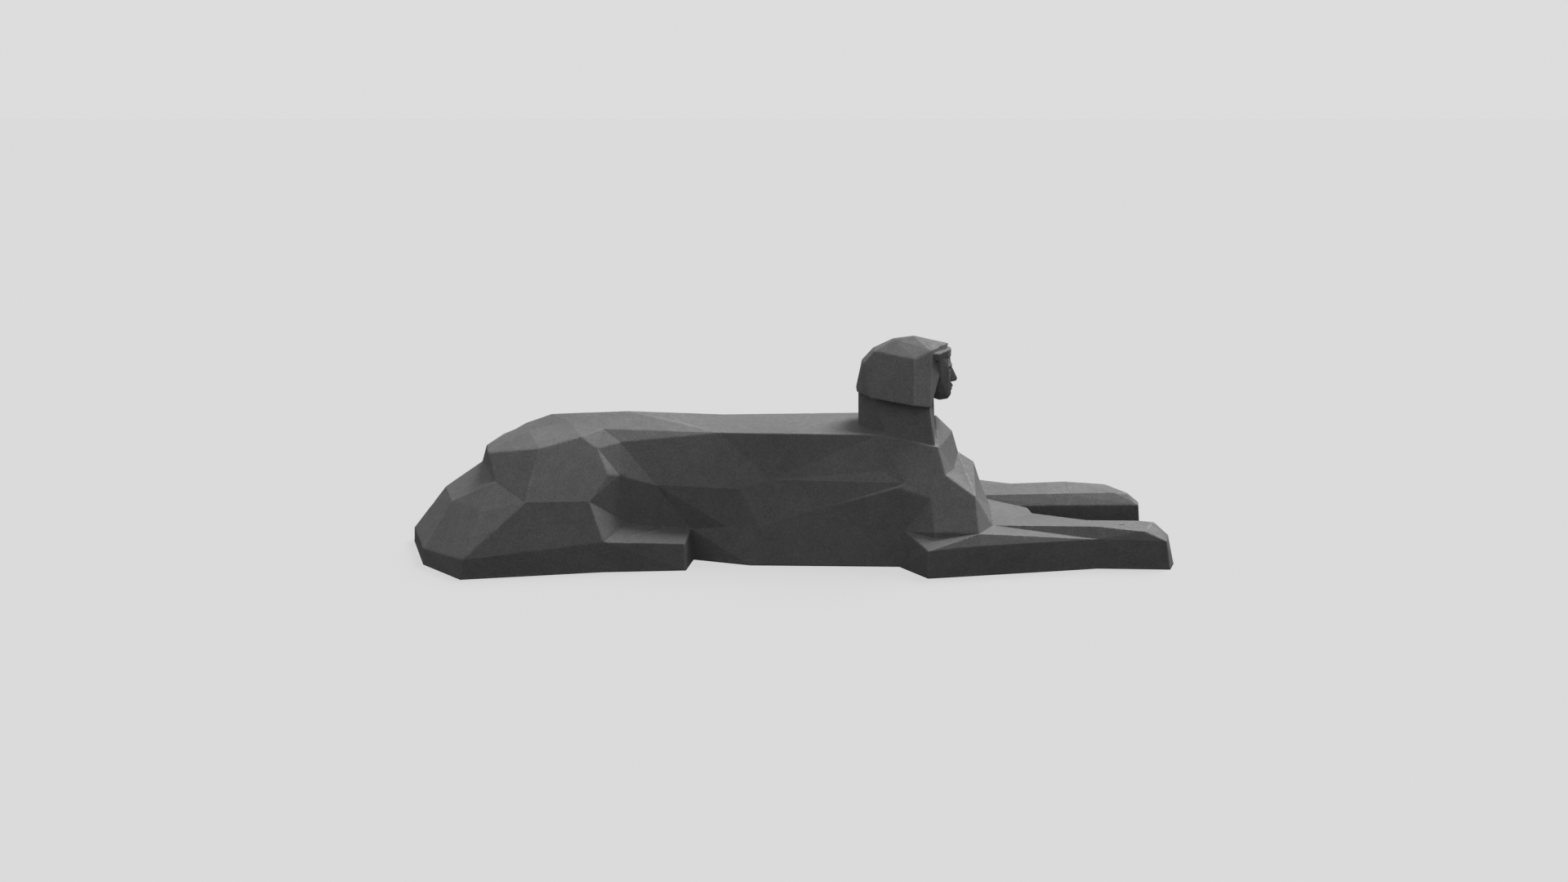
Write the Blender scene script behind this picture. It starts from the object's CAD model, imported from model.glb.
"""Looks for the recumbent stone sphinx: dressed facets, worn arrises and a dark, fine-grained stone.

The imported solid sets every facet. The visible stone is the same solid with its stronger arrises worn
back and its faces left slightly uneven by the dressing, never outside the solid's own box.
"""
import math

import bmesh
import bpy
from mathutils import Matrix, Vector, noise


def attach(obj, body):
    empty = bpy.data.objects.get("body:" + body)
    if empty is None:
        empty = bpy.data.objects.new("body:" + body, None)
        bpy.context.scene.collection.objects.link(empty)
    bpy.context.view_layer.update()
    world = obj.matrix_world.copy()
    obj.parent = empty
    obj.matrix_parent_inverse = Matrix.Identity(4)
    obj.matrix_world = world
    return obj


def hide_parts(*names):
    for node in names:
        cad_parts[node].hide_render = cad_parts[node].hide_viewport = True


# Camera, at the photograph's viewing angle. The focal length is in pixels of a frame 1920 wide.
CAMERA_ELEVATION = math.radians(15.0)
CAMERA_DISTANCE = 7.727
CAMERA_AIM = Vector((0.0, 0.0, 0.6697))
SENSOR_WIDTH = 36.0
FRAME_WIDTH = 1920.0
FOCAL_PIXELS = 1490.0
LENS = SENSOR_WIDTH * FOCAL_PIXELS / FRAME_WIDTH

# Studio: an even pale sky, a pale floor, and one soft key from above, ahead and the far side
SKY = (0.72, 0.72, 0.72, 1.0)
HORIZON = (-0.12, -0.06)
KEY_STRENGTH = 6.2
KEY_ANGLE = 0.5
KEY_FROM = Vector((0.40, 0.38, 0.83))
FLOOR_GLOW = 0.62
FLOOR_COLOUR = (0.037, 0.037, 0.037, 1.0)
FLOOR_REACH = 800.0
FLOOR_CORNERS = ((-1, -1), (1, -1), (1, 1), (-1, 1))

# Facets of the solid, in metres and radians
WELD = 0.0004
FLAT_ANGLE = math.radians(1.0)
ARRIS_ANGLE = math.radians(3.0)
WORN_ANGLE = math.radians(18.0)
REFINING_PASSES = 6
FACE_STEP = 0.036
ARRIS_STEP = 0.018
FOOT_HEIGHT = 0.004

# Wear of an arris, as the share of the way back to the middle of its neighbours
RUB_MEAN = 0.25
RUB_SPREAD = 0.2
RUB_SCALE = 3.0
RUB_LIMIT = 0.8
CHIP_SCALE = 14.0
CHIP_SHIFT = Vector((7.0, 3.0, 5.0))
CHIP_START = 0.42
CHIP_GAIN = 2.2

# Unevenness of the dressed faces, in metres, shared between a wide swell and finer pick marks
UNEVENNESS = 0.0018
SWELL_SCALE = 5.0
SWELL_SHARE = 0.65
PICK_SCALE = 17.0
PICK_SHIFT = Vector((1.0, 9.0, 4.0))
PICK_SHARE = 0.35

# Stone: a noise is (scale, detail, roughness), and a reach of its values is spread over a span
STONE_COLOUR = (0.079, 0.079, 0.079, 1.0)
STONE_SPECULAR = 0.25
NOISE_REACH = (0.3, 0.7)
CLOUD_NOISE = (1.6, 5.0, 0.55)
CLOUD_SPAN = (0.9, 1.1)
MOTTLE_NOISE = (14.0, 4.0, 0.6)
MOTTLE_SPAN = (0.92, 1.08)
GRAIN_NOISE = (95.0, 4.0, 0.75)
GRAIN_SPAN = (0.72, 1.28)
CRYSTAL_SCALE = 210.0
CRYSTAL_REACH = (0.1, 0.32)
CRYSTAL_SPAN = (1.4, 0.98)
PATCH_NOISE = (9.0, 3.0, 0.6)
PATCH_REACH = (0.4, 0.65)
PATCH_SPAN = (0.15, 1.0)
RUBBED_SPAN = (1.0, 1.35)
RUBBED_POLISH = 0.12
ROUGHNESS_NOISE = (30.0, 3.0, 0.6)
ROUGHNESS_SPAN = (0.62, 0.82)
PIT_SCALE = 85.0
PIT_REACH = (0.0, 0.28)
PIT_SHARE = 0.35
FINE_NOISE = (260.0, 4.0, 0.7)
BUMP_STRENGTH = 0.5
BUMP_DEPTH = 0.0015
WHOLE = (0.0, 1.0)


def stone_skin(node):
    """The solid's own facets, welded. An edge between two facets, an arris, is left sharp."""
    skin = bmesh.new()
    skin.from_mesh(node.data)
    bmesh.ops.remove_doubles(skin, verts=skin.verts, dist=WELD)
    bmesh.ops.dissolve_limit(skin, angle_limit=FLAT_ANGLE, verts=skin.verts, edges=skin.edges)
    for edge in skin.edges:
        edge.smooth = edge.calc_face_angle(math.pi) < ARRIS_ANGLE
    bmesh.ops.triangulate(skin, faces=skin.faces)
    return skin


def refine(skin):
    """Cuts the facets into small triangles, smaller along the arrises."""
    for _ in range(REFINING_PASSES):
        arris = {vert for edge in skin.edges if not edge.smooth for vert in edge.verts}
        long_edges = []
        for edge in skin.edges:
            step = ARRIS_STEP if arris.intersection(edge.verts) else FACE_STEP
            if edge.calc_length() > step:
                long_edges.append(edge)
        bmesh.ops.subdivide_edges(skin, edges=long_edges, cuts=1)
        bmesh.ops.triangulate(skin, faces=[face for face in skin.faces if len(face.verts) > 3])


def strong_arrises(skin):
    """The arrises that stand out enough to be rubbed by wear."""
    strong = []
    for edge in skin.edges:
        if not edge.smooth and edge.is_convex and edge.calc_face_angle(0.0) > WORN_ANGLE:
            strong.append(edge)
    return strong


def wear_arrises(worn_edges):
    """Rubs the arrises back by a varying amount, with a chip here and there."""
    worn = {}
    for vert in {vert for edge in worn_edges for vert in edge.verts}:
        if vert.co.z < FOOT_HEIGHT:
            continue
        rub = RUB_MEAN + RUB_SPREAD * noise.noise(vert.co * RUB_SCALE)
        chip = noise.noise(vert.co * CHIP_SCALE + CHIP_SHIFT)
        if chip > CHIP_START:
            rub += CHIP_GAIN * (chip - CHIP_START)
        around = Vector((0.0, 0.0, 0.0))
        for edge in vert.link_edges:
            around += edge.other_vert(vert).co
        middle = around / len(vert.link_edges)
        worn[vert] = vert.co.lerp(middle, min(rub, RUB_LIMIT))
    for vert, place in worn.items():
        vert.co = place


def dress_faces(skin):
    """Leaves the faces slightly hollow and uneven, inwards only, so that the block keeps its size."""
    skin.normal_update()
    moves = []
    for vert in skin.verts:
        if vert.co.z < FOOT_HEIGHT:
            continue
        swell = 0.5 + 0.5 * noise.noise(vert.co * SWELL_SCALE)
        pick = 0.5 + 0.5 * noise.noise(vert.co * PICK_SCALE + PICK_SHIFT)
        moves.append((vert, -UNEVENNESS * (SWELL_SHARE * swell + PICK_SHARE * pick)))
    for vert, depth in moves:
        vert.co += vert.normal * depth


def mark_wear(mesh, rubbed):
    """A point attribute that is 1 on a rubbed arris and fades over the face beside it."""
    values = [0.0] * len(mesh.vertices)
    for index in rubbed:
        values[index] = 1.0
    attribute = mesh.attributes.new("wear", "FLOAT", "POINT")
    attribute.data.foreach_set("value", values)


def build_stone(node):
    """The visible stone. Rubbed arrises are shaded round, the others stay crisp."""
    skin = stone_skin(node)
    refine(skin)
    strong = strong_arrises(skin)
    skin.verts.index_update()
    rubbed = {vert.index for edge in strong for vert in edge.verts}
    wear_arrises(strong)
    dress_faces(skin)
    for edge in strong:
        edge.smooth = True
    for face in skin.faces:
        face.smooth = True
    mesh = bpy.data.meshes.new("sphinx_stone")
    skin.to_mesh(mesh)
    skin.free()
    mark_wear(mesh, rubbed)
    stone = bpy.data.objects.new("sphinx_stone", mesh)
    bpy.context.scene.collection.objects.link(stone)
    return stone


def noise_layer(tree, source, kind):
    layer = tree.nodes.new("ShaderNodeTexNoise")
    for name, value in zip(("Scale", "Detail", "Roughness"), kind):
        layer.inputs[name].default_value = value
    tree.links.new(source, layer.inputs["Vector"])
    return layer.outputs["Fac"]


def cell_layer(tree, source, scale):
    layer = tree.nodes.new("ShaderNodeTexVoronoi")
    layer.inputs["Scale"].default_value = scale
    tree.links.new(source, layer.inputs["Vector"])
    return layer.outputs["Distance"]


def remap(tree, source, reach, span):
    """Spreads the values within reach over the span."""
    layer = tree.nodes.new("ShaderNodeMapRange")
    for name, value in zip(("From Min", "From Max", "To Min", "To Max"), reach + span):
        layer.inputs[name].default_value = value
    tree.links.new(source, layer.inputs["Value"])
    return layer.outputs["Result"]


def arithmetic(tree, operation, first, second):
    step = tree.nodes.new("ShaderNodeMath")
    step.operation = operation
    for socket, value in zip(step.inputs, (first, second)):
        if isinstance(value, float):
            socket.default_value = value
        else:
            tree.links.new(value, socket)
    return step.outputs["Value"]


def stone_tone(tree, place, rubbed):
    """Cloudy tone, fine pale and dark crystals, and paler arrises where they are rubbed."""
    tone = remap(tree, noise_layer(tree, place, CLOUD_NOISE), NOISE_REACH, CLOUD_SPAN)
    layers = (
        remap(tree, noise_layer(tree, place, MOTTLE_NOISE), NOISE_REACH, MOTTLE_SPAN),
        remap(tree, noise_layer(tree, place, GRAIN_NOISE), NOISE_REACH, GRAIN_SPAN),
        remap(tree, cell_layer(tree, place, CRYSTAL_SCALE), CRYSTAL_REACH, CRYSTAL_SPAN),
        remap(tree, rubbed, WHOLE, RUBBED_SPAN),
    )
    for layer in layers:
        tone = arithmetic(tree, "MULTIPLY", tone, layer)
    return tone


def stone_relief(tree, place):
    """Small pits and a fine grain."""
    pitted = remap(tree, cell_layer(tree, place, PIT_SCALE), PIT_REACH, WHOLE)
    fine = noise_layer(tree, place, FINE_NOISE)
    return arithmetic(tree, "ADD", arithmetic(tree, "MULTIPLY", pitted, PIT_SHARE), fine)


def stone_material():
    """Dark stone with a grainy relief. Rubbed arrises are paler and smoother."""
    material = bpy.data.materials.new("dark_stone_dressed")
    material.use_nodes = True
    tree = material.node_tree
    shader = tree.nodes["Principled BSDF"]
    shader.inputs["Specular IOR Level"].default_value = STONE_SPECULAR
    place = tree.nodes.new("ShaderNodeTexCoord").outputs["Object"]
    wear = tree.nodes.new("ShaderNodeAttribute")
    wear.attribute_name = "wear"
    patchy = remap(tree, noise_layer(tree, place, PATCH_NOISE), PATCH_REACH, PATCH_SPAN)
    rubbed = arithmetic(tree, "MULTIPLY", wear.outputs["Fac"], patchy)

    grey = tree.nodes.new("ShaderNodeCombineColor")
    tone = stone_tone(tree, place, rubbed)
    for channel in ("Red", "Green", "Blue"):
        tree.links.new(tone, grey.inputs[channel])
    colour = tree.nodes.new("ShaderNodeMix")
    colour.data_type = "RGBA"
    colour.blend_type = "MULTIPLY"
    colour.inputs["Factor"].default_value = 1.0
    colour.inputs["A"].default_value = STONE_COLOUR
    tree.links.new(grey.outputs["Color"], colour.inputs["B"])
    tree.links.new(colour.outputs["Result"], shader.inputs["Base Color"])

    rough = remap(tree, noise_layer(tree, place, ROUGHNESS_NOISE), NOISE_REACH, ROUGHNESS_SPAN)
    polish = arithmetic(tree, "MULTIPLY", rubbed, RUBBED_POLISH)
    tree.links.new(arithmetic(tree, "SUBTRACT", rough, polish), shader.inputs["Roughness"])

    bump = tree.nodes.new("ShaderNodeBump")
    bump.inputs["Strength"].default_value = BUMP_STRENGTH
    bump.inputs["Distance"].default_value = BUMP_DEPTH
    tree.links.new(stone_relief(tree, place), bump.inputs["Height"])
    tree.links.new(bump.outputs["Normal"], shader.inputs["Normal"])
    return material


def lay_floor():
    """A pale floor that shines evenly and doesn't light the stone from below."""
    mesh = bpy.data.meshes.new("floor")
    corners = [(x * FLOOR_REACH, y * FLOOR_REACH, 0.0) for x, y in FLOOR_CORNERS]
    mesh.from_pydata(corners, [], [(0, 1, 2, 3)])
    material = bpy.data.materials.new("pale_floor")
    material.use_nodes = True
    shader = material.node_tree.nodes["Principled BSDF"]
    shader.inputs["Base Color"].default_value = FLOOR_COLOUR
    shader.inputs["Roughness"].default_value = 1.0
    shader.inputs["Specular IOR Level"].default_value = 0.0
    shader.inputs["Emission Color"].default_value = (1.0, 1.0, 1.0, 1.0)
    shader.inputs["Emission Strength"].default_value = FLOOR_GLOW
    mesh.materials.append(material)
    floor = bpy.data.objects.new("floor", mesh)
    floor.visible_diffuse = False
    floor.visible_glossy = False
    bpy.context.scene.collection.objects.link(floor)


def light_studio():
    """An even sky that ends at the horizon, and one soft key light."""
    world = bpy.data.worlds.new("studio")
    bpy.context.scene.world = world
    world.use_nodes = True
    tree = world.node_tree
    background = tree.nodes["Background"]
    direction = tree.nodes.new("ShaderNodeTexCoord").outputs["Generated"]
    split = tree.nodes.new("ShaderNodeSeparateXYZ")
    tree.links.new(direction, split.inputs["Vector"])
    above = remap(tree, split.outputs["Z"], HORIZON, WHOLE)
    background.inputs["Color"].default_value = SKY
    tree.links.new(above, background.inputs["Strength"])
    key = bpy.data.lights.new("key", "SUN")
    key.energy = KEY_STRENGTH
    key.angle = KEY_ANGLE
    lamp = bpy.data.objects.new("key", key)
    lamp.rotation_euler = KEY_FROM.to_track_quat("Z", "Y").to_euler()
    bpy.context.scene.collection.objects.link(lamp)


def place_camera():
    data = bpy.data.cameras.new("camera")
    data.sensor_width = SENSOR_WIDTH
    data.lens = LENS
    data.clip_end = 2.0 * FLOOR_REACH
    camera = bpy.data.objects.new("camera", data)
    back = Vector((0.0, -math.cos(CAMERA_ELEVATION), math.sin(CAMERA_ELEVATION)))
    camera.location = CAMERA_AIM + back * CAMERA_DISTANCE
    camera.rotation_euler = (math.pi / 2.0 - CAMERA_ELEVATION, 0.0, 0.0)
    bpy.context.scene.collection.objects.link(camera)
    bpy.context.scene.camera = camera


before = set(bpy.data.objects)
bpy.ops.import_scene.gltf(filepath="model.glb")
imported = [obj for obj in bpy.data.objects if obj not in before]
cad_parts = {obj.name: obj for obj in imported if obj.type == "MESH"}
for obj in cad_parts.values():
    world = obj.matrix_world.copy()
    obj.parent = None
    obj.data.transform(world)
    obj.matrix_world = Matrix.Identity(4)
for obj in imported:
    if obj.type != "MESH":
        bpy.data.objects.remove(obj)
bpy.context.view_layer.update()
bpy.context.scene.view_settings.view_transform = "Standard"

place_camera()
light_studio()
lay_floor()

sphinx_stone = build_stone(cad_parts["sphinx"])
sphinx_stone.data.materials.append(stone_material())
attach(sphinx_stone, "root")
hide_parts("sphinx")
